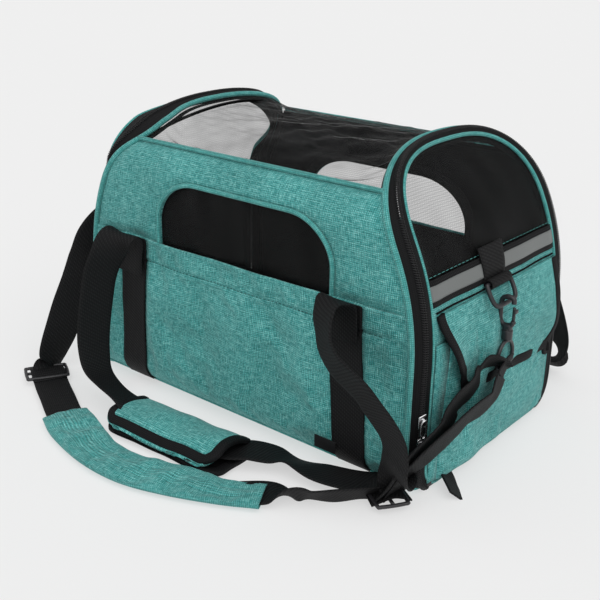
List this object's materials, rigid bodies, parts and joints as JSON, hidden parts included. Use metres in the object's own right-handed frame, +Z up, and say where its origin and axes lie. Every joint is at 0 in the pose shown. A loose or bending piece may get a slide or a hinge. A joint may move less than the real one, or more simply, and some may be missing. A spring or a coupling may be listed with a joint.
{
  "type": "pet transport carrier",
  "caption": "Soft-sided cabin pet carrier: padded fabric shell, mesh windows and roof, zipped end doors, cargo pocket, hand loops with padded wrap and a clip-on shoulder strap",
  "frame": {"origin": "in the middle of the carrier's underside, on the floor under the centre of the fabric body", "axes": "+X along the carrier towards the pocketed end door, -Y towards the front window side, +Z up"},
  "size_m": [0.5179, 0.54, 0.3135],
  "materials": {
    "shell_fabric": "heathered plain weave",
    "mesh": "open mesh",
    "piping": "piped cord",
    "webbing": "ribbed webbing",
    "zip_tape": "twill tape",
    "zip_coil": "nylon coil",
    "lining": "brushed lining",
    "board": "stiff board",
    "spring_wire": "spring steel",
    "reflective": "reflective ribbon",
    "label": "woven label",
    "hardware_plastic": "moulded",
    "zip_metal": "plated"
  },
  "bodies": {
    "shell": {"base_panel": "shell_fabric", "base_board": "board", "front_panel": "shell_fabric", "front_window_mesh": "mesh", "front_window_piping": "piping", "front_slip_pocket": "shell_fabric", "back_panel": "shell_fabric", "back_window_mesh": "mesh", "back_window_piping": "piping", "back_slip_pocket": "shell_fabric", "blank_label": "label", "roof_mesh": "mesh", "roof_piping": "piping", "end_piping": "piping", "shell_zip_tape": "zip_tape", "zip_coils": "zip_coil", "wire_hoops": "spring_wire", "girth_webbing": "webbing", "right_strap_lower": "webbing", "left_strap_lower": "webbing", "shoulder_webbing": "webbing"},
    "mat": {"floor_mat": "lining"},
    "right_door": {"right_door_panel": "shell_fabric", "right_door_mesh": "mesh", "right_door_edge": "piping", "right_band": "reflective", "right_ring_tab": "webbing", "cargo_pocket": "shell_fabric", "right_strap_upper": "webbing"},
    "left_door": {"left_door_panel": "shell_fabric", "left_door_mesh": "mesh", "left_door_edge": "piping", "left_band": "reflective", "left_ring_tab": "webbing", "left_strap_upper": "webbing"},
    "cargo_flap": {"cargo_flap": "shell_fabric"},
    "right_ring": {"right_d_ring": "hardware_plastic", "right_snap_hook": "hardware_plastic"},
    "left_ring": {"left_d_ring": "hardware_plastic", "left_snap_hook": "hardware_plastic"},
    "right_gate": {"right_hook_gate": "hardware_plastic"},
    "left_gate": {"left_hook_gate": "hardware_plastic"},
    "right_eye": {"right_swivel_eye": "hardware_plastic", "right_strap_loop": "webbing"},
    "left_eye": {"left_swivel_eye": "hardware_plastic", "left_strap_loop": "webbing"},
    "front_handle": {"front_handle": "webbing", "wrap_base": "shell_fabric"},
    "wrap_flap": {"wrap_flap": "shell_fabric"},
    "back_handle": {"back_handle": "webbing"},
    "right_upper_slider": {"right_upper_slider": "zip_metal"},
    "right_lower_slider": {"right_lower_slider": "zip_metal"},
    "left_slider": {"left_slider": "zip_metal"},
    "right_upper_pull": {"right_upper_pull": "zip_metal"},
    "right_lower_pull": {"right_lower_pull": "zip_metal"},
    "left_pull": {"left_pull": "zip_metal"},
    "right_glide": {"right_ladder_glide": "hardware_plastic"},
    "left_glide": {"left_ladder_glide": "hardware_plastic"},
    "shoulder_pad": {"shoulder_pad": "shell_fabric"}
  },
  "joints": [
    {"name": "right_door_hinge", "type": "hinge", "parent": "shell", "child": "right_door", "pos_m": [0.2222, 0, 0.004], "axis": [0, 1, 0], "range_deg": [0, 70]},
    {"name": "left_door_hinge", "type": "hinge", "parent": "shell", "child": "left_door", "pos_m": [-0.2222, 0, 0.004], "axis": [0, -1, 0], "range_deg": [0, 70]},
    {"name": "cargo_flap_lift", "type": "hinge", "parent": "right_door", "child": "cargo_flap", "pos_m": [0.2192, 0, 0.177], "axis": [0, 1, 0], "range_deg": [-60, 0]},
    {"name": "right_ring_swing", "type": "hinge", "parent": "right_door", "child": "right_ring", "pos_m": [0.2245, -0.01, 0.184], "axis": [0, 1, 0], "range_deg": [-60, 0]},
    {"name": "left_ring_swing", "type": "hinge", "parent": "left_door", "child": "left_ring", "pos_m": [-0.2245, -0.01, 0.184], "axis": [0, -1, 0], "range_deg": [-60, 0]},
    {"name": "right_gate_open", "type": "hinge", "parent": "right_ring", "child": "right_gate", "pos_m": [0.2447, -0.01, 0.147], "axis": [0, -1, 0], "range_deg": [0, 15]},
    {"name": "left_gate_open", "type": "hinge", "parent": "left_ring", "child": "left_gate", "pos_m": [-0.23755, -0.049, 0.1741], "axis": [0, 0, -1], "range_deg": [0, 15]},
    {"name": "right_swivel", "type": "hinge", "parent": "right_ring", "child": "right_eye", "pos_m": [0.2395, -0.01, 0.131], "axis": [0, 0, 1], "range_deg": [-12, 12]},
    {"name": "left_swivel", "type": "hinge", "parent": "left_ring", "child": "left_eye", "pos_m": [-0.23235, -0.065, 0.1741], "axis": [0, 1, 0], "range_deg": [-12, 12]},
    {"name": "front_handle_swing", "type": "hinge", "parent": "shell", "child": "front_handle", "pos_m": [0, -0.149, 0.178], "axis": [-1, 0, 0], "range_deg": [0, 155]},
    {"name": "back_handle_swing", "type": "hinge", "parent": "shell", "child": "back_handle", "pos_m": [0, 0.149, 0.178], "axis": [1, 0, 0], "range_deg": [0, 155]},
    {"name": "wrap_open", "type": "hinge", "parent": "front_handle", "child": "wrap_flap", "pos_m": [0, -0.168, 0.02], "axis": [-1, 0, 0], "range_deg": [0, 80]},
    {"name": "right_upper_zip", "type": "slide", "parent": "shell", "child": "right_upper_slider", "axis": [0, 0, 1], "range_m": [0, 0.02]},
    {"name": "right_lower_zip", "type": "slide", "parent": "shell", "child": "right_lower_slider", "axis": [0, 0, -1], "range_m": [0, 0.01]},
    {"name": "left_zip", "type": "slide", "parent": "shell", "child": "left_slider", "axis": [0, 0, 1], "range_m": [0, 0.035]},
    {"name": "right_upper_pull_swing", "type": "hinge", "parent": "right_upper_slider", "child": "right_upper_pull", "pos_m": [0.2263, -0.1292, 0.078], "axis": [0, 1, 0], "range_deg": [-70, 0]},
    {"name": "right_lower_pull_swing", "type": "hinge", "parent": "right_lower_slider", "child": "right_lower_pull", "pos_m": [0.2263, -0.1292, 0.054], "axis": [0, 1, 0], "range_deg": [-70, 0]},
    {"name": "left_pull_swing", "type": "hinge", "parent": "left_slider", "child": "left_pull", "pos_m": [-0.2263, 0.1292, 0.07], "axis": [0, -1, 0], "range_deg": [-70, 0]},
    {"name": "right_glide_slide", "type": "slide", "parent": "shell", "child": "right_glide", "axis": [-0.8317, -0.5552, 0], "range_m": [0, 0.02]},
    {"name": "left_glide_slide", "type": "slide", "parent": "shell", "child": "left_glide", "axis": [0.8712, -0.491, 0], "range_m": [0, 0.02]},
    {"name": "pad_slide", "type": "hinge", "parent": "shell", "child": "shoulder_pad", "pos_m": [-0.022, -0.04, 0.006], "axis": [0, 0, 1], "range_deg": [-2.5, 1.5]},
    {"name": "mat_lift", "type": "slide", "parent": "shell", "child": "mat", "axis": [0, 0, 1], "range_m": [0, 0.04]}
  ],
  "couplings": [
    {"joint": "right_ring_swing", "follows": "cargo_flap_lift", "ratio": 1}
  ]
}
